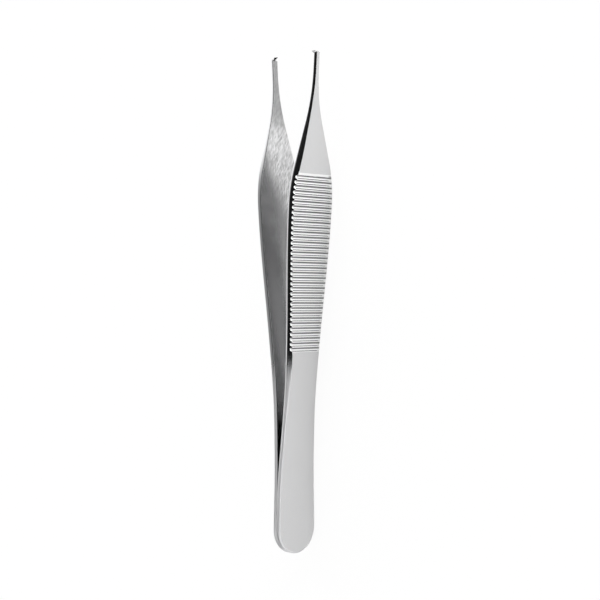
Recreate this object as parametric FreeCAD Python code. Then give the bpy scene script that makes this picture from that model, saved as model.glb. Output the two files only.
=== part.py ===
import FreeCAD, Part
import math
import os

from FreeCAD import Vector

# Thumb forceps for fine tissue. Two spring steel leaves lie face to face at the rounded heel, where
# they are welded, and spread from there to the jaws. One jaw ends in two teeth, and the tooth of the
# other jaw goes between them. The forceps lies on the long edges of its leaves.
# Millimetres. X runs from the heel to the jaws, Y is the way that the jaws open, Z is a leaf's width.

# Lengths along a leaf, each taken from the end of the one before
waist_at = 41.0           # heel end to the narrowest place of the handle
grip_length = 47.3        # waist to the shoulder, where the leaf starts to narrow
taper_length = 20.8       # shoulder to the jaw
jaw_length = 10.9         # jaw to the tip

# Widths of a leaf, seen on its flat outer face
heel_width = 12.1
waist_width = 9.76
grip_width = 13.6
jaw_width = 1.5
shoulder_radius = 34.0    # rounds the grip into the taper
flare_radius = 45.0       # rounds the taper into the jaw

# Bend and thickness, seen on the long edge of a leaf
weld_length = 11.8        # flat land where the leaves touch
bend_radius = 175.0       # inner face just past the weld
spread_angle = 3.94       # degrees from the middle plane to the straight part
spring_length = 7.0       # thin straight stretch past the bend
spring_thickness = 1.16
grip_start_thickness = 1.66
grip_end_thickness = 1.75
jaw_thickness = 0.85
tip_thickness = 0.8
outer_bevel = 0.35
inner_bevel = 0.15

# Ribs across the outer face of the grip
ribs_past_waist = 7.4     # waist to the first groove
ribs_past_shoulder = 2.1  # shoulder to the end of the last groove
rib_pitch = 1.2
groove_depth = 0.42
crest_drop = 0.03         # crests lie this much under the plain face beside them
crest_radius = 0.25

# Teeth at the tip, in three equal lanes across the jaw
tooth_height = 0.95
tooth_length = 0.85       # along the jaw, at its root
tooth_edge = 0.12         # blunt top of a tooth
tooth_root = 0.2          # reach of a tooth into its jaw
tooth_clearance = 0.05    # on each side of a tooth when the jaws close

# Places that follow from the sizes above, with the heel end at X = 0
shoulder_at = waist_at + grip_length
jaw_at = shoulder_at + taper_length
overall_length = jaw_at + jaw_length
heel_half = heel_width / 2
waist_half = waist_width / 2
grip_half = grip_width / 2
jaw_half = jaw_width / 2
spread = math.radians(spread_angle)
bend_end = weld_length + bend_radius * math.sin(spread)
ribs_from = waist_at + ribs_past_waist
ribs_to = shoulder_at + ribs_past_shoulder
groove_count = round((ribs_to - ribs_from) / rib_pitch)
lane = jaw_width / 3
margin = 1.0              # reach of a cutting tool past what it cuts

ORIGIN = Vector(0, 0, 0)
ALONG = Vector(1, 0, 0)
OUTWARD = Vector(0, 1, 0)
ACROSS = Vector(0, 0, 1)
OUTSPREAD = Vector(math.cos(spread), math.sin(spread), 0)


def line(a, b):
    return Part.LineSegment(a, b).toShape()


def arc(a, through, b):
    return Part.Arc(a, through, b).toShape()


def ease(a, way_a, b, way_b):
    """A curve from a to b that leaves and arrives in the given directions."""
    reach = (b - a).Length / 3
    curve = Part.BezierCurve()
    curve.setPoles([a, a + way_a * reach, b - way_b * reach, b])
    return curve.toShape()


def corner_arc(corner, way_in, way_out, radius):
    """Start, middle and end of the arc that rounds a corner."""
    half_turn = way_in.getAngle(way_out) / 2
    reach = radius * math.tan(half_turn)
    inward = (way_out - way_in).normalize()
    middle = corner + inward * (radius / math.cos(half_turn) - radius)
    return corner - way_in * reach, middle, corner + way_out * reach


def inner_height(x):
    """Distance of a leaf's inner face from the middle plane."""
    if x <= weld_length:
        return 0.0
    if x <= bend_end:
        return bend_radius - math.sqrt(bend_radius**2 - (x - weld_length) ** 2)
    return bend_radius * (1 - math.cos(spread)) + (x - bend_end) * math.tan(spread)


def inner_point(x):
    return Vector(x, inner_height(x), 0)


def outer_point(x, thickness):
    return Vector(x, inner_height(x) + thickness / math.cos(spread), 0)


def plan_solid():
    """A leaf's outline on its flat face, through more than its whole bend and thickness."""
    fall = Vector(taper_length, 0, jaw_half - grip_half).normalize()
    shoulder = corner_arc(Vector(shoulder_at, 0, grip_half), ALONG, fall, shoulder_radius)
    flare = corner_arc(Vector(jaw_at, 0, jaw_half), fall, ALONG, flare_radius)
    heel_side = Vector(heel_half, 0, heel_half)
    waist = Vector(waist_at, 0, waist_half)
    tip = Vector(overall_length, 0, jaw_half)
    side = [
        ease(heel_side, ALONG, waist, ALONG),
        ease(waist, ALONG, shoulder[0], ALONG),
        arc(*shoulder),
        line(shoulder[2], flare[0]),
        arc(*flare),
        line(flare[2], tip),
    ]
    other_side = [edge.mirror(ORIGIN, ACROSS) for edge in side]
    heel = arc(Vector(heel_half, 0, -heel_half), ORIGIN, heel_side)
    end = line(tip, Vector(overall_length, 0, -jaw_half))
    outline = Part.Wire(Part.__sortEdges__([heel, end] + side + other_side))
    reach = inner_height(overall_length) + grip_end_thickness + margin
    solid = Part.Face(outline).extrude(OUTWARD * (reach + margin))
    return solid.translate(OUTWARD * -margin)


def grip_line():
    """Both ends of the straight outer face of the grip, and its direction."""
    a = outer_point(ribs_from, grip_start_thickness)
    b = outer_point(ribs_to, grip_end_thickness)
    return a, b, (b - a).normalize()


def edge_solid():
    """A leaf seen on its long edge: bent at the heel, thin in the spring, thick in the grip."""
    grip_a, grip_b, grip_way = grip_line()
    outer_radius = bend_radius - spring_thickness
    centre = Vector(weld_length, bend_radius, 0)
    bend_middle = Vector(math.sin(spread / 2), -math.cos(spread / 2), 0)
    heel_outer = Vector(0, spring_thickness, 0)
    weld_outer = Vector(weld_length, spring_thickness, 0)
    bend_outer = centre + Vector(math.sin(spread), -math.cos(spread), 0) * outer_radius
    spring_outer = bend_outer + OUTSPREAD * spring_length
    jaw_outer = outer_point(jaw_at, jaw_thickness)
    tip_outer = outer_point(overall_length, tip_thickness)
    jaw_way = (tip_outer - jaw_outer).normalize()
    inner_tip = inner_point(overall_length)
    outline = Part.Wire(
        [
            line(ORIGIN, inner_point(weld_length)),
            arc(inner_point(weld_length), centre + bend_middle * bend_radius, inner_point(bend_end)),
            line(inner_point(bend_end), inner_tip),
            line(inner_tip, tip_outer),
            line(tip_outer, jaw_outer),
            ease(jaw_outer, jaw_way * -1, grip_b, grip_way * -1),
            line(grip_b, grip_a),
            ease(grip_a, grip_way * -1, spring_outer, OUTSPREAD * -1),
            line(spring_outer, bend_outer),
            arc(bend_outer, centre + bend_middle * outer_radius, weld_outer),
            line(weld_outer, heel_outer),
            line(heel_outer, ORIGIN),
        ]
    )
    reach = max(grip_half, heel_half) + margin
    return Part.Face(outline).extrude(ACROSS * (2 * reach)).translate(ACROSS * -reach)


def bevelled(blade):
    """Breaks the long edges of a leaf with a bevel, its outer ones more than its inner ones."""
    outer, inner = [], []
    for edge in blade.Edges:
        middle = edge.valueAt((edge.FirstParameter + edge.LastParameter) / 2)
        box = edge.BoundBox
        runs_along = box.XLength > jaw_width
        rounds_heel = middle.x < heel_half and box.ZLength > heel_half / 2
        if runs_along or rounds_heel:
            is_outer = middle.y - inner_height(middle.x) > spring_thickness / 2
            (outer if is_outer else inner).append(edge)
    return blade.makeChamfer(outer_bevel, outer).makeChamfer(inner_bevel, inner)


def groove_cutter():
    """All grooves of the grip as one tool, whose lower side is a chain of tangent arcs."""
    start, _, way = grip_line()
    rise = ACROSS.cross(way)
    side_angle = 2 * math.atan(2 * groove_depth / rib_pitch)
    both_radii = rib_pitch / 2 / math.sin(side_angle)
    groove_radius = both_radii - crest_radius
    crest_side = crest_radius * math.sin(side_angle)
    side_depth = crest_drop + crest_radius * (1 - math.cos(side_angle))

    def place(along, depth):
        return start + way * along - rise * depth

    slant = (side_depth + margin) / math.tan(side_angle)
    left = place(crest_side, side_depth)
    top_left = place(crest_side - slant, -margin)
    edges = [line(top_left, left)]
    for groove in range(groove_count):
        bottom = place((groove + 0.5) * rib_pitch, crest_drop + groove_depth)
        right_at = (groove + 1) * rib_pitch - crest_side
        right = place(right_at, side_depth)
        edges.append(arc(left, bottom, right))
        if groove < groove_count - 1:
            crest = place((groove + 1) * rib_pitch, crest_drop)
            left = place(right_at + 2 * crest_side, side_depth)
            edges.append(arc(right, crest, left))
    top_right = place(right_at + slant, -margin)
    edges += [line(right, top_right), line(top_right, top_left)]
    reach = grip_half + margin
    return Part.Face(Part.Wire(edges)).extrude(ACROSS * (2 * reach)).translate(ACROSS * -reach)


def wedge(root, top, height, end):
    """A wedge that goes into the jaw, square to its inner face, given by the sides of its root and top."""
    low = (-tooth_length, -tooth_root, root[0], top[0], -tooth_edge)
    high = (end, height, root[1], top[1], end)
    solid = Part.makeWedge(*low, *high)
    solid.rotate(ORIGIN, ACROSS, spread_angle)
    return solid.translate(inner_point(overall_length))


def tooth(lane_at):
    """A tooth that points at the other jaw, flush with the tip."""
    root = lane / 2 - tooth_clearance
    top = tooth_edge / 2
    solid = wedge((-root, root), (-top, top), tooth_height, tooth_edge)
    solid.rotate(inner_point(overall_length), OUTSPREAD, 180)
    return solid.translate(ACROSS * lane_at).common(plan_solid())


def notch(lane_at):
    """Room for a tooth of the other jaw, open at the tip and, beside the middle lane, at the side."""
    root = lane / 2
    top = tooth_edge / 2 + tooth_clearance
    free = lane / 2 + margin
    low_free = free if lane_at < 0 else 0.0
    high_free = free if lane_at > 0 else 0.0
    root_sides = (lane_at - (low_free or root), lane_at + (high_free or root))
    top_sides = (lane_at - (low_free or top), lane_at + (high_free or top))
    return wedge(root_sides, top_sides, tooth_height + tooth_clearance, margin)


def leaf(tooth_lanes, notch_lanes):
    """One leaf with its inner face on the middle plane, opening along +Y."""
    blade = bevelled(plan_solid().common(edge_solid()))
    blade = blade.cut(groove_cutter())
    for lane_at in notch_lanes:
        blade = blade.cut(notch(lane_at))
    for lane_at in tooth_lanes:
        blade = blade.fuse(tooth(lane_at))
    return blade.removeSplitter()


def build():
    """The two leaves by name, lying on their long edges under the middle of their box."""
    rest = Vector(-overall_length / 2, 0, max(grip_half, heel_half))
    one_tooth = leaf([0.0], [-lane, lane])
    two_teeth = leaf([-lane, lane], [0.0])
    two_teeth.rotate(ORIGIN, ALONG, 180)
    return {
        "leaf_one_tooth": one_tooth.translate(rest),
        "leaf_two_teeth": two_teeth.translate(rest),
    }


def main():
    os.makedirs("parts", exist_ok=True)
    for name, shape in build().items():
        shape.exportStep(f"parts/{name}.step")
        print(name, "solids", len(shape.Solids), "valid", shape.isValid(), "mm3", round(shape.Volume, 1))


if __name__ == "__main__":
    main()
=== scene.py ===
# %% [markdown]
# # A pair of thumb forceps
# Surgeons hold thin tissue with a forceps like this one. It has two leaves of spring steel, joined at
# the rounded heel. Fingers press the ribbed grips, the leaves bend, and three small teeth lock together
# at the tip. The imported model of the forceps is the frame of this scene: it says where each leaf lies,
# so its box is kept first, and the box of the new pieces is printed beside it at the end.

import math

import bmesh
import bpy
from mathutils import Matrix, Vector


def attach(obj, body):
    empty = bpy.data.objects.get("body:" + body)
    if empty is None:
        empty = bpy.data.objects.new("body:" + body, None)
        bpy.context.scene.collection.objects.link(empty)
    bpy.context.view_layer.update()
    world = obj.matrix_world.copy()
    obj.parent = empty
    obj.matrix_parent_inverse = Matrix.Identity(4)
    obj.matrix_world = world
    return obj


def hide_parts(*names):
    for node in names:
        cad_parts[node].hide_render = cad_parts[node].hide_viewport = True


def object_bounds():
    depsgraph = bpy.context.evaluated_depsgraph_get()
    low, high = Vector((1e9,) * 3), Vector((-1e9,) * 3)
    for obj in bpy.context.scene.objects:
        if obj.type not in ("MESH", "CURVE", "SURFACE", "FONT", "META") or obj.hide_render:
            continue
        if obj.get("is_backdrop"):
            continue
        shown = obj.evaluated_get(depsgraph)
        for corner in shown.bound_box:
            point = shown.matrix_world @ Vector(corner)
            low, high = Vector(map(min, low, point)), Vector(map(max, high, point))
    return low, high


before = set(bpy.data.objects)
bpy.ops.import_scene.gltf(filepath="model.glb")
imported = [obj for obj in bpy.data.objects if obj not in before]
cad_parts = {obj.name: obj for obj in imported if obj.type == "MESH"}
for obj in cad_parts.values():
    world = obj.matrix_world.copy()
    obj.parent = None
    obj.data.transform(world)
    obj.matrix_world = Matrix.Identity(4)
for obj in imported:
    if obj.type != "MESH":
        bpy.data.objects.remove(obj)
cad_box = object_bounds()
print("nodes:", ", ".join(sorted(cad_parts)))

# %% [markdown]
# ## Sizes
# Blender works in metres, and a forceps is easier to think of in millimetres. All sizes below are in
# millimetres and are turned to metres once, when a mesh is made. A leaf is described along its length
# s, from 0 at the heel end to 120 at the tip.

# %% Sizes of a leaf
MM = 0.001
LENGTH = 120.0
WAIST_AT = 41.0
SHOULDER_AT = 88.3
JAW_AT = 109.1
HEEL_HALF = 6.05
WAIST_HALF = 4.88
GRIP_HALF = 6.8
JAW_HALF = 0.75
SHOULDER_RADIUS = 34.0
FLARE_RADIUS = 45.0

WELD_LENGTH = 11.8
BEND_RADIUS = 175.0
SPREAD = math.radians(3.94)
BEND_END = WELD_LENGTH + BEND_RADIUS * math.sin(SPREAD)
SPRING_END = 30.3

RIBS_FROM = 48.4
RIBS_TO = 90.4
RIB_PITCH = 1.2
RIB_COUNT = 35
GROOVE_DEPTH = 0.36
CREST_DROP = 0.03
CREST_RADIUS = 0.25

SPRING_THICK = 1.16
GRIP_THICK = 1.66
SHOULDER_THICK = 1.75
JAW_THICK = 0.85
TIP_THICK = 0.8
print(f"leaf {LENGTH} mm long, {2 * GRIP_HALF:.1f} mm wide at the grip, {RIB_COUNT} grooves")

# %% [markdown]
# ## Camera
# The photograph looks down on the forceps from one side, so that one leaf shows its ribbed outer face
# and the other its brushed inner face. The camera looks along a line 44.5 degrees under the horizon,
# and its top points along the forceps, which makes the tips point up in the picture. The small shift
# only places the forceps in the picture as the photograph does.

# %% Camera
LOOK_DOWN = math.radians(44.5)
CAMERA_AWAY = 342.6
AIM = Vector((0.1, 0.0, 6.8))
PICTURE_SIZE = 600
ROLL = 0.0025

toward_camera = Vector((0.0, -math.cos(LOOK_DOWN), math.sin(LOOK_DOWN)))
picture_up = Vector((1.0, 0.0, 0.0))
picture_right = picture_up.cross(toward_camera)
camera_data = bpy.data.cameras.new("camera")
camera_data.lens = 85.4
camera_data.sensor_width = 36.0
camera_data.clip_start = 0.01
camera_data.shift_x = 5.3 / PICTURE_SIZE
camera_data.shift_y = 3.0 / PICTURE_SIZE
camera = bpy.data.objects.new("camera", camera_data)
facing = Matrix((picture_right, picture_up, toward_camera)).transposed() @ Matrix.Rotation(ROLL, 3, "Z")
camera.matrix_world = Matrix.Translation((AIM + toward_camera * CAMERA_AWAY) * MM) @ facing.to_4x4()
bpy.context.scene.collection.objects.link(camera)
bpy.context.scene.camera = camera
bpy.context.scene.view_settings.view_transform = "Standard"
print("camera at", [round(v, 4) for v in camera.location])

# %% [markdown]
# ## Rules of the leaf's shape
# A leaf is stamped from strip, so its outline, its thickness and its bend each follow a rule along s.
# The outline is wide at the heel, narrow at the waist, widest at the grip, and then falls in a straight
# taper to a jaw that is only 1.5 mm wide. Writing each rule as a small function keeps the mesh code
# short, and any size can be changed later in one place.

# %% Outline and thickness
TAPER_ANGLE = math.atan((GRIP_HALF - JAW_HALF) / (JAW_AT - SHOULDER_AT))
SHOULDER_START = SHOULDER_AT - SHOULDER_RADIUS * math.tan(TAPER_ANGLE / 2)
SHOULDER_END = SHOULDER_START + SHOULDER_RADIUS * math.sin(TAPER_ANGLE)
FLARE_END = JAW_AT + FLARE_RADIUS * math.tan(TAPER_ANGLE / 2)
FLARE_START = FLARE_END - FLARE_RADIUS * math.sin(TAPER_ANGLE)


def eased(s, start, end, first, last):
    """Goes softly from first to last while s goes from start to end."""
    t = min(1.0, max(0.0, (s - start) / (end - start)))
    return first + (last - first) * t * t * (3 - 2 * t)


def half_width(s):
    """Half the width of the leaf past the rounded heel."""
    if s < WAIST_AT:
        return eased(s, HEEL_HALF, WAIST_AT, HEEL_HALF, WAIST_HALF)
    if s < SHOULDER_START:
        return eased(s, WAIST_AT, SHOULDER_START, WAIST_HALF, GRIP_HALF)
    if s < SHOULDER_END:
        return GRIP_HALF - SHOULDER_RADIUS + math.sqrt(SHOULDER_RADIUS**2 - (s - SHOULDER_START) ** 2)
    if s < FLARE_START:
        return GRIP_HALF - (s - SHOULDER_AT) * math.tan(TAPER_ANGLE)
    if s < FLARE_END:
        return JAW_HALF + FLARE_RADIUS - math.sqrt(FLARE_RADIUS**2 - (FLARE_END - s) ** 2)
    return JAW_HALF


def thickness(s):
    if s < RIBS_FROM:
        return eased(s, SPRING_END, RIBS_FROM, SPRING_THICK, GRIP_THICK)
    if s < RIBS_TO:
        return GRIP_THICK + (s - RIBS_FROM) / (RIBS_TO - RIBS_FROM) * (SHOULDER_THICK - GRIP_THICK)
    if s < JAW_AT:
        return eased(s, RIBS_TO, JAW_AT, SHOULDER_THICK, JAW_THICK)
    return JAW_THICK - (s - JAW_AT) / (LENGTH - JAW_AT) * (JAW_THICK - TIP_THICK)


def inner_height(s):
    """Distance of the inner face from the middle plane between the leaves."""
    if s < WELD_LENGTH:
        return 0.0
    if s < BEND_END:
        return BEND_RADIUS - math.sqrt(BEND_RADIUS**2 - (s - WELD_LENGTH) ** 2)
    return BEND_RADIUS * (1 - math.cos(SPREAD)) + (s - BEND_END) * math.tan(SPREAD)


def outer_height(s):
    return inner_height(s) + thickness(s) / math.cos(SPREAD)


print(f"half the gap at the tip: {inner_height(LENGTH):.2f} mm")

# %% [markdown]
# The long edges are not sharp. On the handle the outer edges are round, and from the grip on they are
# ground to a flat bevel. The sides are ground by hand too: on the handle they lean in towards the inner
# face, and along the grip they form a low ridge, which is what draws the thin white line beside the
# dark one in the photograph.

# %% Rounding of the edges
HANDLE_ROUND = 0.38
GRIP_BEVEL = 0.46
JAW_BEVEL = 0.24
BEVEL_GROWS = (27.0, 49.0)
RIDGE_GROWS = (31.0, 49.0)


def outer_round(s):
    """Width of the round or bevel along the outer edge."""
    at_grip = eased(s, 26.0, 50.0, HANDLE_ROUND, GRIP_BEVEL)
    return at_grip - eased(s, 88.0, 108.0, 0.0, GRIP_BEVEL - JAW_BEVEL)


def inner_round(s):
    """Radius of the inner edge."""
    return eased(s, 9.0, 26.0, 0.05, 0.09)


def bevelled(s):
    """1 where the outer edge is a flat bevel, 0 where it is round."""
    return eased(s, *BEVEL_GROWS, 0.0, 1.0)


def side_ridge(s, outer, inner_lean):
    """The side is a low ridge: heights of its two slopes and how far each falls back from the ridge."""
    height = thickness(s) / math.cos(SPREAD) - outer - inner_round(s)
    upper = height * eased(s, *RIDGE_GROWS, 0.05, 0.7)
    lower = height - upper
    outer_lean = math.radians(eased(s, 88.0, 100.0, 4.0, 9.0))
    inner_lean = math.radians(eased(s, *RIDGE_GROWS, 11.0, inner_lean))
    return upper, lower, upper * math.tan(outer_lean), lower * math.tan(inner_lean)


def crown(s):
    """How far the outer face falls towards its long edges."""
    return eased(s, 34.0, 53.0, 0.17, 0.0)


# %% [markdown]
# ## Stations
# The leaf is made flat first, as it leaves the press, and a second step bends it. Its mesh is built
# from stations along the leaf. They lie close together where the outline or the face turns quickly:
# round the heel, on every rib, and along the taper. On the ribs they follow the profile of the cutter,
# so that each crest and each trough gets its own row of points. The last station lies about half a
# millimetre before the tip.

# %% Stations along the outline
HEEL_STEPS = 30
HANDLE_STEP = 1.2
TAPER_STEP = 0.6
JAW_STEP = 0.4
GRIP_SLOPE = (outer_height(RIBS_TO) - outer_height(RIBS_FROM)) / (RIBS_TO - RIBS_FROM)
GRIP_LEAN = math.atan(GRIP_SLOPE)
SIDE_ANGLE = 2 * math.atan(2 * GROOVE_DEPTH / RIB_PITCH)
GROOVE_RADIUS = RIB_PITCH / 2 / math.sin(SIDE_ANGLE) - CREST_RADIUS
CREST_SIDE = CREST_RADIUS * math.sin(SIDE_ANGLE)


def rib_stations():
    """Places of the rows across the grip: four on each side of a crest, four on each side of a trough."""
    from_crest = [CREST_RADIUS * math.sin(SIDE_ANGLE * k / 3) for k in range(4)]
    from_trough = [GROOVE_RADIUS * math.sin(SIDE_ANGLE * k / 4) for k in range(4)]
    half = from_crest + [RIB_PITCH / 2 - v for v in reversed(from_trough)]
    whole = half + [RIB_PITCH - v for v in reversed(half[1:-1])]
    step = math.cos(GRIP_LEAN)
    places = [RIBS_FROM + (n * RIB_PITCH + v) * step for n in range(RIB_COUNT) for v in whole]
    return places + [RIBS_FROM + RIB_COUNT * RIB_PITCH * step]


def spaced(start, end, step):
    """Even places from start on, about a step apart. The end itself is left out."""
    count = max(1, round((end - start) / step))
    return [start + (end - start) * k / count for k in range(count)]


def outline():
    """Points of half the outline as (s, across, normal along s, normal across)."""
    heel = []
    for k in range(HEEL_STEPS + 1):
        angle = math.pi / 2 * k / HEEL_STEPS
        back, aside = math.cos(angle), math.sin(angle)
        heel.append((HEEL_HALF * (1 - back), HEEL_HALF * aside, -back, aside))
    ribs = rib_stations()
    places = spaced(HEEL_HALF, RIBS_FROM, HANDLE_STEP)[1:] + ribs
    places += spaced(ribs[-1], FLARE_END, TAPER_STEP)[1:]
    places += spaced(FLARE_END, LENGTH - 0.06, JAW_STEP)
    side = []
    for s in places:
        slope = (half_width(s + 0.01) - half_width(s - 0.01)) / 0.02
        size = math.hypot(slope, 1.0)
        side.append((s, half_width(s), -slope / size, 1 / size))
    return heel + side


stations = outline()
print(len(stations), "stations")

# %% [markdown]
# ## The blank
# Every station gets one closed ring of points: over the outer face, round the outer edge, down the
# side, round the inner edge and back over the inner face. On the heel the rings lean with the
# outline's normal, so that the rounding runs round the heel without a kink. Joining each ring with the
# next one makes a closed skin of four-sided faces. Hand grinding never makes two edges alike: the near
# leaf has a wider bevel on its upper side and a sharper ridge than the far one.

# %% Rings of the blank
FLAT_STEPS = 5
ROUND_STEPS = 3
RIM_PARTS = (0.0, 0.12, 0.35, 0.65, 0.88, 1.0)
UPPER_SLOPE_PARTS = (0.1, 0.7)
LOWER_SLOPE_PARTS = (0.3, 0.9)
SUPPORT = 0.12
CROWN_WIDTH = 2.2


def half_ring(s, across, normal_s, normal_across, wider, inner_lean):
    """Points (s, height, across, drop) from the middle of the outer face to that of the inner face."""
    inner, flat = inner_round(s), bevelled(s)
    outer = outer_round(s) + wider * flat * eased(s, 92.0, 112.0, 1.0, 0.0)
    upper, lower, upper_back, lower_back = side_ridge(s, outer, inner_lean)
    rim = []
    for part in RIM_PARTS:
        angle = math.pi / 2 * part
        inset = upper_back + outer * (flat * (1 - part) + (1 - flat) * (1 - math.sin(angle)))
        drop = outer * (flat * part + (1 - flat) * (1 - math.cos(angle)))
        rim.append((inset, drop, "outer"))
    for part in UPPER_SLOPE_PARTS:
        rim.append((upper_back * (1 - part), outer + upper * part, "outer"))
    for part in LOWER_SLOPE_PARTS:
        rim.append((lower_back * part, outer + upper + lower * part, "outer"))
    for k in range(ROUND_STEPS + 1):
        angle = math.pi / 2 * k / ROUND_STEPS
        rim.append((lower_back + inner * (1 - math.cos(angle)), inner * (1 - math.sin(angle)), "inner"))
    skin = []
    for inset, drop, side in rim:
        place, out = s - normal_s * inset, across - normal_across * inset
        skin.append((place, out, inset, drop, side))
    faces = {}
    for (place, out, *_), edge, side in ((skin[0], outer, "outer"), (skin[-1], inner, "inner")):
        back, reach = place - normal_s * SUPPORT, max(0.0, out - normal_across * SUPPORT)
        parts = [k / FLAT_STEPS for k in range(FLAT_STEPS + 1)]
        faces[side] = [
            (back, reach * part, edge + SUPPORT + reach * (1 - part), 0.0, side) for part in parts
        ]
    ring = faces["outer"] + skin + faces["inner"][::-1]
    points = []
    for place, out, inset, drop, side in ring:
        full = thickness(place) / math.cos(SPREAD)
        if side == "outer":
            fall = crown(place) * max(0.0, 1 - inset / CROWN_WIDTH) ** 2 * (1 - drop / full)
            points.append((place, full - drop - fall, out, drop + fall))
        else:
            points.append((place, drop, out, full - drop))
    return points


HALF_COUNT = len(half_ring(*stations[-1], 0.0, 0.0))
print(HALF_COUNT, "points in half a ring")


# %% Mesh of the blank
OUTER, EDGES, INNER = 0, 1, 2


def flat_blank(name, wider, inner_lean):
    """The stamped leaf before it is bent, in millimetres, with a wider bevel on its upper side."""
    shape = bmesh.new()
    drop_layer = shape.verts.layers.float.new("drop")
    rings = []
    for station in stations:
        upper_half = half_ring(*station, wider, inner_lean)
        lower_half = half_ring(*station, 0.0, inner_lean)
        loop = upper_half + [(s, h, -z, d) for s, h, z, d in reversed(lower_half[1:-1])]
        ring = []
        for s, height, across, drop in loop:
            vert = shape.verts.new((s, height, across))
            vert[drop_layer] = drop
            ring.append(vert)
        rings.append(ring)
    flat = FLAT_STEPS + 1
    for ring, following in zip(rings, rings[1:]):
        count = len(ring)
        for k in range(count):
            beside = (k + 1) % count
            face = shape.faces.new((ring[k], following[k], following[beside], ring[beside]))
            column = k if k < HALF_COUNT - 1 else count - 1 - k
            on_inner_face = column >= HALF_COUNT - 1 - flat
            face.material_index = OUTER if column < flat else INNER if on_inner_face else EDGES
            face.smooth = True
    shape.faces.new(rings[-1]).material_index = EDGES
    bmesh.ops.remove_doubles(shape, verts=shape.verts, dist=0.0005)
    bmesh.ops.recalc_face_normals(shape, faces=shape.faces)
    mesh = bpy.data.meshes.new(name)
    shape.to_mesh(mesh)
    shape.free()
    return mesh


near_blank = flat_blank("near_blank", wider=0.2, inner_lean=14.0)
far_blank = flat_blank("far_blank", wider=0.0, inner_lean=0.0)
print("blank:", len(near_blank.vertices), "points,", len(near_blank.polygons), "faces")

# %% [markdown]
# ## Steel finishes
# The whole forceps is one stainless steel, but its finishes differ. The outer faces are blasted to a
# calm satin, so that they do not dazzle under a theatre lamp. The inner faces keep the long lines of
# the grinding belt. The edges are polished brighter. The cut ribs are polished too, and their
# near-white tint, brighter than steel, is a painted sheen. What the finishes share is made once, as
# node groups: one draws grinding lines and one draws soft patches left by hands and cloths.

# %% Node helpers
def link(tree, source, target):
    tree.links.new(source, target)


def math_node(tree, operation, *values):
    """A Math node whose inputs are numbers or sockets, and its output."""
    node = tree.nodes.new("ShaderNodeMath")
    node.operation = operation
    for socket, value in zip(node.inputs, values):
        if isinstance(value, (int, float)):
            socket.default_value = value
        else:
            link(tree, value, socket)
    return node.outputs[0]


def stepped(tree, value, start, end, first, last):
    """Map Range node that goes softly from first to last while value goes from start to end."""
    node = tree.nodes.new("ShaderNodeMapRange")
    node.interpolation_type = "SMOOTHSTEP"
    for name, number in (("From Min", start), ("From Max", end), ("To Min", first), ("To Max", last)):
        node.inputs[name].default_value = number
    link(tree, value, node.inputs["Value"])
    return node.outputs["Result"]


def grinding_lines():
    """Group: fine lines along X, as a grinding belt leaves them."""
    group = bpy.data.node_groups.new("grinding_lines", "ShaderNodeTree")
    group.interface.new_socket("Coordinates", in_out="INPUT", socket_type="NodeSocketVector")
    for name, value in (("Line Length", 0.03), ("Line Width", 0.0002), ("Contrast", 1.0)):
        socket = group.interface.new_socket(name, in_out="INPUT", socket_type="NodeSocketFloat")
        socket.default_value = value
    group.interface.new_socket("Lines", in_out="OUTPUT", socket_type="NodeSocketFloat")
    start = group.nodes.new("NodeGroupInput")
    end = group.nodes.new("NodeGroupOutput")
    parts = group.nodes.new("ShaderNodeSeparateXYZ")
    link(group, start.outputs["Coordinates"], parts.inputs[0])
    place = group.nodes.new("ShaderNodeCombineXYZ")
    link(group, math_node(group, "DIVIDE", parts.outputs[0], start.outputs["Line Length"]), place.inputs[0])
    link(group, math_node(group, "DIVIDE", parts.outputs[1], start.outputs["Line Width"]), place.inputs[1])
    link(group, math_node(group, "DIVIDE", parts.outputs[2], start.outputs["Line Width"]), place.inputs[2])
    noise = group.nodes.new("ShaderNodeTexNoise")
    noise.inputs["Scale"].default_value = 1.0
    noise.inputs["Detail"].default_value = 4.0
    noise.inputs["Roughness"].default_value = 0.65
    link(group, place.outputs[0], noise.inputs["Vector"])
    centred = math_node(group, "SUBTRACT", noise.outputs["Fac"], 0.5)
    spread = math_node(group, "MULTIPLY", centred, start.outputs["Contrast"])
    lines = math_node(group, "ADD", spread, 0.5)
    link(group, lines, end.inputs["Lines"])
    return group


def soft_patches():
    """Group: broad soft patches left by handling and wiping."""
    group = bpy.data.node_groups.new("soft_patches", "ShaderNodeTree")
    group.interface.new_socket("Coordinates", in_out="INPUT", socket_type="NodeSocketVector")
    socket = group.interface.new_socket("Patch Size", in_out="INPUT", socket_type="NodeSocketFloat")
    socket.default_value = 0.012
    group.interface.new_socket("Patches", in_out="OUTPUT", socket_type="NodeSocketFloat")
    start = group.nodes.new("NodeGroupInput")
    end = group.nodes.new("NodeGroupOutput")
    noise = group.nodes.new("ShaderNodeTexNoise")
    noise.inputs["Detail"].default_value = 3.0
    noise.inputs["Distortion"].default_value = 0.6
    link(group, start.outputs["Coordinates"], noise.inputs["Vector"])
    link(group, math_node(group, "DIVIDE", 1.0, start.outputs["Patch Size"]), noise.inputs["Scale"])
    link(group, noise.outputs["Fac"], end.inputs["Patches"])
    return group


LINES = grinding_lines()
PATCHES = soft_patches()
print("groups:", LINES.name, PATCHES.name)

# %% [markdown]
# Each finish is a Principled shader with full metal. The lines and patches change its colour a
# little and its roughness more, and a very shallow bump lets the lines break up reflections. Three
# finishes also change over the leaf. The flanks of the ribs get painted shade, the inner face gets
# painted shade towards the tips and a painted reflection of the lit floor aslant across its taper,
# streaked by grinding lines, and the edges are duller on the handle than along the grip.

# %% One steel finish
LINES_SHARE = 0.7


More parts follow.
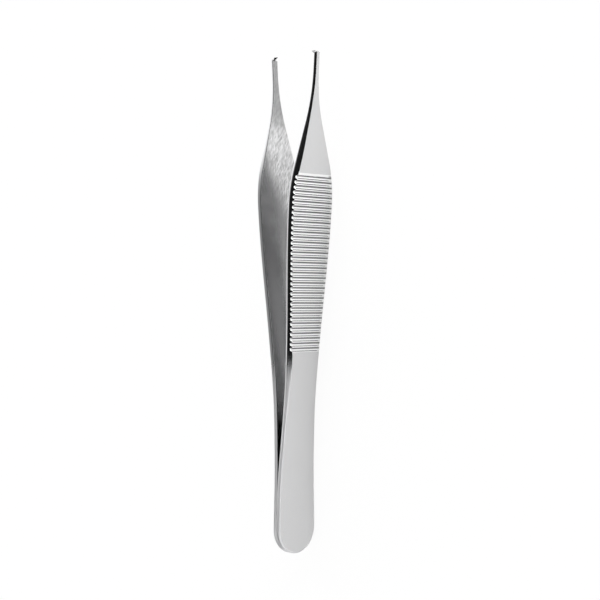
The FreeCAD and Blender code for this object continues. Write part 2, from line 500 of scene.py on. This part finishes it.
def with_painted_flank_shade(tree, tint, place):
    """Paints shade on the steep flanks of the ribs, most on the heel side, by mixing their colour towards
    near black.
    """
    parts = tree.nodes.new("ShaderNodeSeparateXYZ")
    link(tree, place.outputs["Normal"], parts.inputs[0])
    heelward = math_node(tree, "MULTIPLY", parts.outputs[0], -1.0)
    heel_flank = stepped(tree, heelward, 0.1, 0.55, 0.0, 0.8)
    tip_flank = stepped(tree, parts.outputs[0], 0.35, 0.75, 0.0, 0.28)
    flanks = math_node(tree, "ADD", heel_flank, tip_flank)
    # Painted shade: the colour of the flanks is mixed towards near black (0.05).
    darkened = tree.nodes.new("ShaderNodeMix")
    darkened.data_type = "RGBA"
    darkened.inputs["B"].default_value = (0.05, 0.05, 0.052, 1.0)
    link(tree, flanks, darkened.inputs["Factor"])
    link(tree, tint, darkened.inputs["A"])
    return darkened.outputs["Result"]


def with_painted_shade_and_reflection(tree, tint, place, lines):
    """Paints shade on the inner face from its middle towards the tips, and a painted reflection of the lit
    floor aslant across its taper, streaked by grinding lines.
    """
    parts = tree.nodes.new("ShaderNodeSeparateXYZ")
    link(tree, place.outputs["Object"], parts.inputs[0])
    # Mask of the painted reflection: it runs aslant, strongest towards the tips and the lower edge, and
    # weaker on the jaws.
    aslant = math_node(tree, "MULTIPLY_ADD", parts.outputs[2], -2.2, parts.outputs[0])
    aslant = math_node(tree, "MULTIPLY_ADD", lines, 0.008, aslant)
    zone = stepped(tree, aslant, 0.008, 0.023, 0.0, 1.0)
    zone = math_node(tree, "MULTIPLY", zone, stepped(tree, parts.outputs[0], 0.039, 0.048, 1.0, 0.25))
    # Painted shade: the inner face is mixed towards dark grey from the middle of the leaf towards the tips.
    shaded = tree.nodes.new("ShaderNodeMix")
    shaded.data_type = "RGBA"
    shaded.inputs["B"].default_value = (0.2, 0.2, 0.202, 1.0)
    link(tree, stepped(tree, parts.outputs[0], 0.0, 0.034, 0.0, 0.85), shaded.inputs["Factor"])
    link(tree, tint, shaded.inputs["A"])
    lightened = tree.nodes.new("ShaderNodeMix")
    lightened.data_type = "RGBA"
    link(tree, zone, lightened.inputs["Factor"])
    link(tree, shaded.outputs["Result"], lightened.inputs["A"])
    # The painted reflection itself: streaky steel between mid grey and near white.
    streaked_reflection = tree.nodes.new("ShaderNodeMix")
    streaked_reflection.data_type = "RGBA"
    streaked_reflection.inputs["A"].default_value = (0.4, 0.4, 0.404, 1.0)
    streaked_reflection.inputs["B"].default_value = (0.92, 0.92, 0.924, 1.0)
    mottle = tree.nodes.new("ShaderNodeGroup")
    mottle.node_tree = LINES
    mottle.inputs["Line Length"].default_value = 0.0022
    mottle.inputs["Line Width"].default_value = 0.0005
    aside = tree.nodes.new("ShaderNodeMapping")
    aside.inputs["Rotation"].default_value = (0.0, math.radians(-35), 0.0)
    link(tree, place.outputs["Object"], aside.inputs["Vector"])
    link(tree, aside.outputs[0], mottle.inputs["Coordinates"])
    streaks = math_node(tree, "ADD", lines, mottle.outputs["Lines"])
    link(tree, stepped(tree, streaks, 0.72, 1.2, 0.0, 1.0), streaked_reflection.inputs["Factor"])
    link(tree, streaked_reflection.outputs["Result"], lightened.inputs["B"])
    return lightened.outputs["Result"]


def steel(name, dark, light, rough, line_rough, patch_rough, line_width, line_length, bump, region=None):
    """A steel finish between two tints. Line sizes are in millimetres."""
    material = bpy.data.materials.new(name)
    material.use_nodes = True
    tree = material.node_tree
    shader = tree.nodes["Principled BSDF"]
    shader.inputs["Metallic"].default_value = 1.0
    place = tree.nodes.new("ShaderNodeTexCoord")
    turned = tree.nodes.new("ShaderNodeMapping")
    turned.inputs["Rotation"].default_value = (0.0, math.pi / 2 if region == "ribs" else 0.0, 0.0)
    link(tree, place.outputs["Object"], turned.inputs["Vector"])
    lines = tree.nodes.new("ShaderNodeGroup")
    lines.node_tree = LINES
    lines.inputs["Line Length"].default_value = line_length * MM
    lines.inputs["Line Width"].default_value = line_width * MM
    link(tree, turned.outputs[0], lines.inputs["Coordinates"])
    patches = tree.nodes.new("ShaderNodeGroup")
    patches.node_tree = PATCHES
    link(tree, place.outputs["Object"], patches.inputs["Coordinates"])
    colour = tree.nodes.new("ShaderNodeMix")
    colour.data_type = "RGBA"
    colour.inputs["A"].default_value = (*dark, 1.0)
    colour.inputs["B"].default_value = (*light, 1.0)
    both = math_node(tree, "MULTIPLY_ADD", lines.outputs["Lines"], LINES_SHARE, 0.0)
    both = math_node(tree, "MULTIPLY_ADD", patches.outputs["Patches"], 1 - LINES_SHARE, both)
    link(tree, both, colour.inputs["Factor"])
    tint = colour.outputs["Result"]
    if region == "ribs":
        tint = with_painted_flank_shade(tree, tint, place)
    if region == "taper":
        tint = with_painted_shade_and_reflection(tree, tint, place, lines.outputs["Lines"])
    link(tree, tint, shader.inputs["Base Color"])
    roughness = math_node(tree, "MULTIPLY_ADD", lines.outputs["Lines"], line_rough, rough - line_rough / 2)
    roughness = math_node(tree, "MULTIPLY_ADD", patches.outputs["Patches"], patch_rough, roughness)
    if region == "edges":
        parts = tree.nodes.new("ShaderNodeSeparateXYZ")
        link(tree, place.outputs["Object"], parts.inputs[0])
        dull_handle = stepped(tree, parts.outputs[0], -0.02, -0.01, 0.38, 0.0)
        roughness = math_node(tree, "ADD", roughness, dull_handle)
    link(tree, roughness, shader.inputs["Roughness"])
    relief = tree.nodes.new("ShaderNodeBump")
    relief.inputs["Strength"].default_value = bump
    relief.inputs["Distance"].default_value = 0.00002
    link(tree, lines.outputs["Lines"], relief.inputs["Height"])
    link(tree, relief.outputs["Normal"], shader.inputs["Normal"])
    return material


OUTER_SATIN = steel(
    "outer_satin", (0.6, 0.6, 0.604), (0.68, 0.68, 0.684),
    rough=0.22, line_rough=0.06, patch_rough=0.06, line_width=0.25, line_length=12, bump=0.1,
)
EDGE_POLISH = steel(
    "edge_polish", (0.62, 0.62, 0.63), (0.72, 0.72, 0.73),
    rough=0.07, line_rough=0.05, patch_rough=0.04, line_width=0.2, line_length=6, bump=0.08, region="edges",
)
# The inner finish also carries painted shade towards the tips and a painted reflection across the taper.
INNER_GROUND = steel(
    "inner_ground", (0.47, 0.47, 0.474), (0.67, 0.67, 0.674),
    rough=0.1, line_rough=0.1, patch_rough=0.06, line_width=0.16, line_length=18, bump=0.5, region="taper",
)
# The cut ribs: a real polish, and a near-white tint that is a painted sheen.
RIB_CUT = steel(
    "rib_cut", (0.93, 0.93, 0.932), (1.0, 1.0, 1.0),
    rough=0.1, line_rough=0.08, patch_rough=0.04, line_width=0.12, line_length=3, bump=0.2, region="ribs",
)
FINISHES = [OUTER_SATIN, EDGE_POLISH, INNER_GROUND, RIB_CUT]
print("finishes:", ", ".join(material.name for material in FINISHES))

# %% [markdown]
# ## Bending and ribbing with Geometry Nodes
# A real leaf is bent in a die, and its ribs are milled across the grip. Both follow a rule, so both
# are made by one node tree. Its bend lifts every point by the height of the inner face at its place,
# and its cutter pushes the outer face down along a wave of small arcs: a tight arc over each crest and
# a wider one in each trough. The tree only moves points, so the skin stays closed. A small class lets
# the tree be written as plain sums.

# %% Sums of node values
class Sum:
    """A number in a node tree that can be used in plain arithmetic."""

    def __init__(self, tree, socket):
        self.tree, self.socket = tree, socket

    def use(self, operation, *others):
        values = [other.socket if isinstance(other, Sum) else other for other in others]
        return Sum(self.tree, math_node(self.tree, operation, self.socket, *values))

    def __add__(self, other):
        return self.use("ADD", other)

    def __sub__(self, other):
        return self.use("SUBTRACT", other)

    def __mul__(self, other):
        return self.use("MULTIPLY", other)

    def __truediv__(self, other):
        return self.use("DIVIDE", other)

    def above(self, other):
        return self.use("GREATER_THAN", other)

    def below(self, other):
        return self.use("LESS_THAN", other)


def arc_fall(radius, offset):
    """How far an arc has fallen at an offset from its top: radius - sqrt(radius^2 - offset^2)."""
    inside = radius * radius - offset * offset
    return radius - inside.use("MAXIMUM", 0.0).use("SQRT")


# %% The tree
def leaf_tree(rib_material):
    """Node tree that bends a flat blank and cuts its ribs. Lengths are in millimetres."""
    tree = bpy.data.node_groups.new("bend_and_rib", "GeometryNodeTree")
    sockets = tree.interface
    sockets.new_socket("Geometry", in_out="INPUT", socket_type="NodeSocketGeometry")
    for name in (
        "Weld Length", "Bend Radius", "Bend End", "Spread Slope", "Ribs From", "Face Height",
        "Face Lean", "Rib Pitch", "Rib Count", "Groove Depth", "Groove Radius", "Crest Radius",
        "Crest Side", "Crest Drop",
    ):
        sockets.new_socket(name, in_out="INPUT", socket_type="NodeSocketFloat")
    sockets.new_socket("Geometry", in_out="OUTPUT", socket_type="NodeSocketGeometry")
    start = tree.nodes.new("NodeGroupInput")
    end = tree.nodes.new("NodeGroupOutput")
    size = {socket.name: Sum(tree, socket) for socket in start.outputs if socket.type == "VALUE"}

    position = tree.nodes.new("GeometryNodeInputPosition")
    parts = tree.nodes.new("ShaderNodeSeparateXYZ")
    link(tree, position.outputs[0], parts.inputs[0])
    s, height = Sum(tree, parts.outputs[0]), Sum(tree, parts.outputs[1])
    past_weld = (s - size["Weld Length"]).use("MAXIMUM", 0.0)
    in_bend = past_weld.use("MINIMUM", size["Bend End"] - size["Weld Length"])
    past_bend = (s - size["Bend End"]).use("MAXIMUM", 0.0)
    lift = arc_fall(size["Bend Radius"], in_bend) + past_bend * size["Spread Slope"]

    bent_height = height + lift
    lean_cos, lean_sin = size["Face Lean"].use("COSINE"), size["Face Lean"].use("SINE")
    forward = s - size["Ribs From"]
    along = forward * lean_cos + (bent_height - size["Face Height"]) * lean_sin
    in_pitch = (along / size["Rib Pitch"]).use("FRACT") * size["Rib Pitch"]
    from_crest = in_pitch.use("MINIMUM", size["Rib Pitch"] - in_pitch)
    from_trough = size["Rib Pitch"] * 0.5 - from_crest
    crest_cut = size["Crest Drop"] + arc_fall(size["Crest Radius"], from_crest)
    trough_cut = size["Crest Drop"] + size["Groove Depth"] - arc_fall(size["Groove Radius"], from_trough)
    on_crest = from_crest.below(size["Crest Side"])
    cut = trough_cut + (crest_cut - trough_cut) * on_crest
    slack = 0.01
    ribbed = along.above(-slack) * along.below(size["Rib Pitch"] * size["Rib Count"] + slack)
    drop = tree.nodes.new("GeometryNodeInputNamedAttribute")
    drop.data_type = "FLOAT"
    drop.inputs["Name"].default_value = "drop"
    fall = Sum(tree, drop.outputs["Attribute"])
    deeper = fall.use("SMOOTH_MAX", cut, 0.05)
    push = (deeper - fall).use("MAXIMUM", 0.0) * ribbed

    moved = tree.nodes.new("ShaderNodeCombineXYZ")
    link(tree, (s + push * lean_sin).socket, moved.inputs[0])
    link(tree, (bent_height - push * lean_cos).socket, moved.inputs[1])
    link(tree, parts.outputs[2], moved.inputs[2])
    pushed = tree.nodes.new("GeometryNodeStoreNamedAttribute")
    pushed.data_type = "FLOAT"
    pushed.domain = "POINT"
    pushed.inputs["Name"].default_value = "rib_cut"
    link(tree, start.outputs["Geometry"], pushed.inputs["Geometry"])
    link(tree, push.socket, pushed.inputs["Value"])
    place = tree.nodes.new("GeometryNodeSetPosition")
    link(tree, pushed.outputs["Geometry"], place.inputs["Geometry"])
    link(tree, moved.outputs[0], place.inputs["Position"])
    real = tree.nodes.new("GeometryNodeRealizeInstances")
    link(tree, place.outputs["Geometry"], real.inputs["Geometry"])
    depth = tree.nodes.new("GeometryNodeInputNamedAttribute")
    depth.data_type = "FLOAT"
    depth.inputs["Name"].default_value = "rib_cut"
    was_cut = Sum(tree, depth.outputs["Attribute"]).above(0.02)
    paint = tree.nodes.new("GeometryNodeSetMaterial")
    paint.inputs["Material"].default_value = rib_material
    link(tree, real.outputs["Geometry"], paint.inputs["Geometry"])
    link(tree, was_cut.socket, paint.inputs["Selection"])
    link(tree, paint.outputs["Geometry"], end.inputs["Geometry"])
    return tree


bend_and_rib = leaf_tree(RIB_CUT)
print("tree:", len(bend_and_rib.nodes), "nodes")

# %% [markdown]
# The modifier's inputs are set by their identifiers before the blank is looked at for the first time.
# What the modifier makes is then kept as a plain mesh, because only plain meshes go into the library.

# %% Bent and ribbed leaf
def plain_mesh(piece, name):
    """The mesh of a piece with all its modifiers applied."""
    evaluated = piece.evaluated_get(bpy.context.evaluated_depsgraph_get())
    mesh = bpy.data.meshes.new_from_object(evaluated)
    mesh.name = name
    return mesh


def bent_leaf(name, blank):
    """The mesh that the node tree makes of a blank."""
    for material in FINISHES:
        blank.materials.append(material)
    piece = bpy.data.objects.new(name, blank)
    bpy.context.scene.collection.objects.link(piece)
    modifier = piece.modifiers.new("bend_and_rib", "NODES")
    modifier.node_group = bend_and_rib
    sizes = {
        "Weld Length": WELD_LENGTH,
        "Bend Radius": BEND_RADIUS,
        "Bend End": BEND_END,
        "Spread Slope": math.tan(SPREAD),
        "Ribs From": RIBS_FROM,
        "Face Height": outer_height(RIBS_FROM),
        "Face Lean": GRIP_LEAN,
        "Rib Pitch": RIB_PITCH,
        "Rib Count": float(RIB_COUNT),
        "Groove Depth": GROOVE_DEPTH,
        "Groove Radius": GROOVE_RADIUS,
        "Crest Radius": CREST_RADIUS,
        "Crest Side": CREST_SIDE,
        "Crest Drop": CREST_DROP,
    }
    for socket in bend_and_rib.interface.items_tree:
        if socket.name in sizes:
            modifier[socket.identifier] = sizes[socket.name]
    mesh = plain_mesh(piece, name)
    bpy.data.objects.remove(piece)
    return mesh


near_shape = bent_leaf("near_shape", near_blank)
far_shape = bent_leaf("far_shape", far_blank)
highest = max(vert.co.y for vert in near_shape.vertices)
print("leaf:", len(near_shape.vertices), "points, rising to", round(highest, 2), "mm")

# %% [markdown]
# ## Teeth
# The jaw is 1.5 mm wide and is shared in three lanes. One leaf has a tooth in the middle lane, the
# other has one in each outer lane, and between its teeth each jaw is filed out so that the teeth of
# the other can enter. A tooth is a wedge with a blunt top. It starts on the jaw and reaches the full
# length of the leaf, about half a millimetre past the last station. Wedges are small closed meshes, and
# exact booleans join or cut them.

# %% Wedges
LANE = 2 * JAW_HALF / 3
TOOTH_HEIGHT = 0.95
TOOTH_LENGTH = 0.85
TOOTH_ROOT = 0.2
TOOTH_EDGE = 0.12
CLEARANCE = 0.05
TIP_GAP = 0.01
NOTCH_RUNS_OUT = 0.3


def wedge(name, lane_at, root_half, top_half, height, root_depth, end):
    """A wedge square to the inner face at the tip, which points away from the leaf for height > 0."""
    base = inner_height(LENGTH)
    lean_cos, lean_sin = math.cos(SPREAD), math.sin(SPREAD)
    corners = []
    for x, y, half in (
        (-TOOTH_LENGTH, root_depth, root_half), (end, root_depth, root_half),
        (-TOOTH_EDGE, -height, top_half), (end, -height, top_half),
    ):
        for side in (-half, half):
            along = min(end, x * lean_cos - y * lean_sin)
            corners.append((LENGTH + along, base + x * lean_sin + y * lean_cos, lane_at + side))
    shape = bmesh.new()
    for corner in corners:
        shape.verts.new(corner)
    bmesh.ops.convex_hull(shape, input=shape.verts)
    bmesh.ops.recalc_face_normals(shape, faces=shape.faces)
    mesh = bpy.data.meshes.new(name)
    shape.to_mesh(mesh)
    shape.free()
    mesh.materials.append(EDGE_POLISH)
    piece = bpy.data.objects.new(name, mesh)
    bpy.context.scene.collection.objects.link(piece)
    return piece


def tooth(lane_at):
    return wedge(
        "tooth", lane_at, LANE / 2 - CLEARANCE, TOOTH_EDGE / 2, TOOTH_HEIGHT, TOOTH_ROOT, -TIP_GAP
    )


def notch(lane_at):
    """Room for a tooth of the other jaw. In an outer lane it runs out past the jaw's long edge."""
    wide = NOTCH_RUNS_OUT if lane_at else 0.0
    top_half = TOOTH_EDGE / 2 + CLEARANCE + wide
    piece = wedge("notch", lane_at, LANE / 2 + wide, top_half, -TOOTH_HEIGHT - CLEARANCE, -0.05, 1.0)
    if lane_at:
        for vert in piece.data.vertices:
            vert.co.z += math.copysign(wide, lane_at)
    return piece


# %% [markdown]
# ## The two leaves
# Both leaves are bent and ribbed by the same tree. Each gets its own teeth, is turned to its side of
# the middle plane and laid on its long edge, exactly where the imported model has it. Its sharp edges
# are marked by angle, so that the ribs and rounded edges shade softly and the jaw ends stay crisp.

# %% Finished leaves
def toothed(name, shape, tooth_lanes, notch_lanes):
    """A leaf with its teeth joined on and the room for the other teeth filed out."""
    piece = bpy.data.objects.new(name, shape)
    bpy.context.scene.collection.objects.link(piece)
    tools = [(tooth(lane), "UNION") for lane in tooth_lanes]
    tools += [(notch(lane), "DIFFERENCE") for lane in notch_lanes]
    for tool, operation in tools:
        modifier = piece.modifiers.new(tool.name, "BOOLEAN")
        modifier.object = tool
        modifier.operation = operation
        modifier.solver = "EXACT"
    finished = plain_mesh(piece, name)
    for tool, _ in tools:
        bpy.data.objects.remove(tool)
    piece.modifiers.clear()
    piece.data = finished
    return piece


def laid_down(piece, side):
    """Moves the mesh to its place: side -1 is the near leaf and side 1 the far one."""
    mesh = piece.data
    for vert in mesh.vertices:
        s, height, across = vert.co
        vert.co = Vector((s - LENGTH / 2, side * height, across + GRIP_HALF)) * MM
    if side < 0:
        mesh.flip_normals()
    mesh.set_sharp_from_angle(angle=math.radians(38))
    return piece


near_leaf = laid_down(toothed("near_leaf_two_teeth", near_shape, (-LANE, LANE), (0.0,)), -1)
far_leaf = laid_down(toothed("far_leaf_one_tooth", far_shape, (0.0,), (-LANE, LANE)), 1)
for piece in (near_leaf, far_leaf):
    corners = [vert.co for vert in piece.data.vertices]
    low = [round(min(c[k] for c in corners) / MM, 2) for k in range(3)]
    high = [round(max(c[k] for c in corners) / MM, 2) for k in range(3)]
    print(piece.name, len(piece.data.polygons), "faces, from", low, "to", high, "mm")

# %% [markdown]
# The new leaves take the place of the imported ones in the picture and ride on the same body.

# %% Ties to the frame
for piece, node in ((near_leaf, "leaf_two_teeth"), (far_leaf, "leaf_one_tooth")):
    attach(piece, "root")
    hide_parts(node)
print("leaves tied to body root")

# %% [markdown]
# ## Floor and light
# Steel shows its surroundings, so the light is mostly a matter of what stands around it. A pale floor
# lights the faces that look out and down to it. The world is a plain pale tent with a dark strip of
# cards over the forceps, from behind it to round the camera. The strip draws the dark lines along the
# upper sides, and the light left low behind it draws the thin white ones. The tent is dim past the
# heel and bright past the tips. The camera itself sees none of it: for its rays the world is plain
# white and the floor nearly so, with a faint shadow.

# %% Floor
def pale_floor():
    mesh = bpy.data.meshes.new("floor")
    mesh.from_pydata([(-2, -2, 0), (2, -2, 0), (2, 2, 0), (-2, 2, 0)], [], [(0, 1, 2, 3)])
    material = bpy.data.materials.new("pale_floor")
    material.use_nodes = True
    tree = material.node_tree
    shader = tree.nodes["Principled BSDF"]
    shader.inputs["Base Color"].default_value = (0.92, 0.92, 0.92, 1.0)
    shader.inputs["Roughness"].default_value = 0.9
    shader.inputs["Specular IOR Level"].default_value = 0.0
    white = tree.nodes.new("ShaderNodeEmission")
    white.inputs["Strength"].default_value = 1.0
    rays = tree.nodes.new("ShaderNodeLightPath")
    mix = tree.nodes.new("ShaderNodeMixShader")
    link(tree, math_node(tree, "MULTIPLY", rays.outputs["Is Camera Ray"], 0.92), mix.inputs["Fac"])
    link(tree, shader.outputs[0], mix.inputs[1])
    link(tree, white.outputs[0], mix.inputs[2])
    link(tree, mix.outputs[0], tree.nodes["Material Output"].inputs["Surface"])
    mesh.materials.append(material)
    piece = bpy.data.objects.new("floor", mesh)
    bpy.context.scene.collection.objects.link(piece)
    piece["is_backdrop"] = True


pale_floor()


# %% World
BACK_LIGHT = 1.9
FRONT_LIGHT = 1.85


def studio_world():
    """A pale tent with a strip of cards over it. Turn is 0 at the horizon behind and 180 in front."""
    world = bpy.data.worlds.new("studio")
    world.use_nodes = True
    tree = world.node_tree
    place = tree.nodes.new("ShaderNodeTexCoord")
    parts = tree.nodes.new("ShaderNodeSeparateXYZ")
    link(tree, place.outputs["Generated"], parts.inputs[0])
    x, y, z = (Sum(tree, part) for part in parts.outputs)
    turn = z.use("ARCTAN2", y)

    def across(start, end, first, last):
        """Goes from first to last along the forceps: x is -1 past the heel and 1 past the tips."""
        return Sum(tree, stepped(tree, x.socket, start, end, first, last))

    def turned(value, start, end, first, last):
        """Goes from first to last while an angle goes from start to end, both in degrees."""
        return Sum(tree, stepped(tree, value.socket, math.radians(start), math.radians(end), first, last))

    low_back = across(-0.2, -0.12, 0.2, BACK_LIGHT) * turned(turn, 4, 48, 1.0, 0.006)
    overhead = turned((turn - math.radians(80)).use("ABSOLUTE"), 8, 15, 0.07, 0.0)
    front = turned(turn, 152, 166, 0.0, FRONT_LIGHT)
    strip = low_back + overhead + front

    reach = turned(turn, 42, 60, 1.2, 0.12) + turned(turn, 95, 115, 0.0, 0.2)
    past_heel = Sum(tree, stepped(tree, (x + reach).socket, -0.05, 0.05, 0.0, 1.0))
    in_strip = past_heel * across(0.6, 0.72, 1.0, 0.0)
    open_tent = across(-0.4, 0.8, 1.15, 6.0)
    tent = open_tent + (strip - open_tent) * in_strip

    rays = tree.nodes.new("ShaderNodeLightPath")
    seen = Sum(tree, rays.outputs["Is Camera Ray"])
    level = tent + (seen - tent * seen)
    background = tree.nodes["Background"]
    background.inputs["Color"].default_value = (1.0, 1.0, 1.0, 1.0)
    link(tree, level.socket, background.inputs["Strength"])
    bpy.context.scene.world = world


studio_world()
print("floor and world ready")

# %% [markdown]
# ## Sizes at the end
# Both boxes, of the imported model and of the visual one, are printed side by side for comparison. The
# visual model must stay inside the box of the imported one.

# %% Boxes and finish
boxes = {"cad": cad_box, "visual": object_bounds()}
for label, box in boxes.items():
    print(label, [[round(v / MM, 3) for v in corner] for corner in box])
